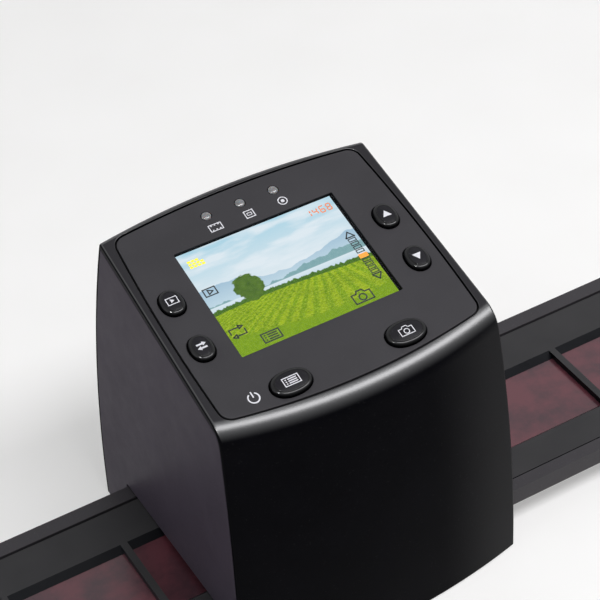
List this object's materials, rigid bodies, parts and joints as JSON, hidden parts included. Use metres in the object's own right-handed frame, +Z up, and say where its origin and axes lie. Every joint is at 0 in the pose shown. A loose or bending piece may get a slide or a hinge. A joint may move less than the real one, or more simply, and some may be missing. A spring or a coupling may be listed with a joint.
{
  "type": "film negative scanner",
  "caption": "Desktop film scanner tower with a sloping display panel, push buttons, and a film holder that slides through slots in its sides.",
  "frame": {"origin": "on the table under the middle of the housing; the base plate's underside is 0.8 mm above it, on four rubber feet", "axes": "+X to the right along the film holder's slide, +Y to the back, +Z up; the control panel slopes down to the front (-Y)"},
  "size_m": [0.236, 0.0958, 0.1058],
  "materials": {
    "shell_plastic": "satin black",
    "cheek_plastic": "satin dark purple grey",
    "faceplate_plastic": "matte dark grey",
    "button_plastic": "glossy black with white pictograms",
    "clear_pane": "clear",
    "display": "lit picture",
    "light_dome": "smoky translucent",
    "inner_black": "matte black",
    "white_plastic": "matte white",
    "opal_plastic": "opal diffuser",
    "circuit_board": "green solder mask",
    "chip_black": "matte black",
    "steel": "plain",
    "lens_glass": "coated",
    "led_yellow": "phosphor",
    "ribbon": "matte",
    "rubber": "matte",
    "holder_plastic": "satin dark grey",
    "film": "glossy orange brown negative"
  },
  "bodies": {
    "scanner": {"main_shell": "shell_plastic", "left_cheek": "cheek_plastic", "right_cheek": "cheek_plastic", "base_plate": "inner_black", "rubber_feet": "rubber", "base_screws": "steel", "faceplate": "faceplate_plastic", "display_window": "clear_pane", "lcd_panel": "display", "display_frame": "white_plastic", "main_board": "circuit_board", "board_screws": "steel", "main_chips": "chip_black", "tact_switches": "steel", "indicator_lights": "light_dome", "lower_track": "inner_black", "light_tunnel": "inner_black", "track_screws": "steel", "detent_spring": "steel", "backlight_box": "white_plastic", "led_board": "white_plastic", "backlight_leds": "led_yellow", "diffuser": "opal_plastic", "backlight_cable": "ribbon", "lens_mount": "inner_black", "lens_barrel": "inner_black", "lens_elements": "lens_glass", "image_sensor": "chip_black", "sensor_board": "circuit_board", "sensor_screws": "steel", "socket_board": "circuit_board", "data_socket": "steel", "card_socket": "steel", "socket_screws": "steel", "sensor_ribbon": "ribbon", "socket_ribbon": "ribbon"},
    "film_holder": {"holder_base": "holder_plastic", "holder_cover": "holder_plastic", "hinge_pins": "steel", "film_strip": "film"},
    "play_key": {"play_button": "button_plastic"},
    "flip_key": {"flip_button": "button_plastic"},
    "up_key": {"up_button": "button_plastic"},
    "down_key": {"down_button": "button_plastic"},
    "menu_key": {"menu_button": "button_plastic"},
    "shutter_key": {"shutter_button": "button_plastic"}
  },
  "joints": [
    {"name": "holder_slide", "type": "slide", "parent": "scanner", "child": "film_holder", "axis": [1, 0, 0], "range_m": [-0.114, 0.076], "deforming": ["detent_spring"]},
    {"name": "play_press", "type": "slide", "parent": "scanner", "child": "play_key", "axis": [0, 0.2588, -0.9659], "range_m": [0, 0.0005], "stiffness_N_per_m": 600, "springref_m": -0.0008},
    {"name": "flip_press", "type": "slide", "parent": "scanner", "child": "flip_key", "axis": [0, 0.2588, -0.9659], "range_m": [0, 0.0005], "stiffness_N_per_m": 600, "springref_m": -0.0008},
    {"name": "up_press", "type": "slide", "parent": "scanner", "child": "up_key", "axis": [0, 0.2588, -0.9659], "range_m": [0, 0.0005], "stiffness_N_per_m": 600, "springref_m": -0.0008},
    {"name": "down_press", "type": "slide", "parent": "scanner", "child": "down_key", "axis": [0, 0.2588, -0.9659], "range_m": [0, 0.0005], "stiffness_N_per_m": 600, "springref_m": -0.0008},
    {"name": "menu_press", "type": "slide", "parent": "scanner", "child": "menu_key", "axis": [0, 0.2588, -0.9659], "range_m": [0, 0.0005], "stiffness_N_per_m": 600, "springref_m": -0.0008},
    {"name": "shutter_press", "type": "slide", "parent": "scanner", "child": "shutter_key", "axis": [0, 0.2588, -0.9659], "range_m": [0, 0.0005], "stiffness_N_per_m": 600, "springref_m": -0.0008}
  ]
}
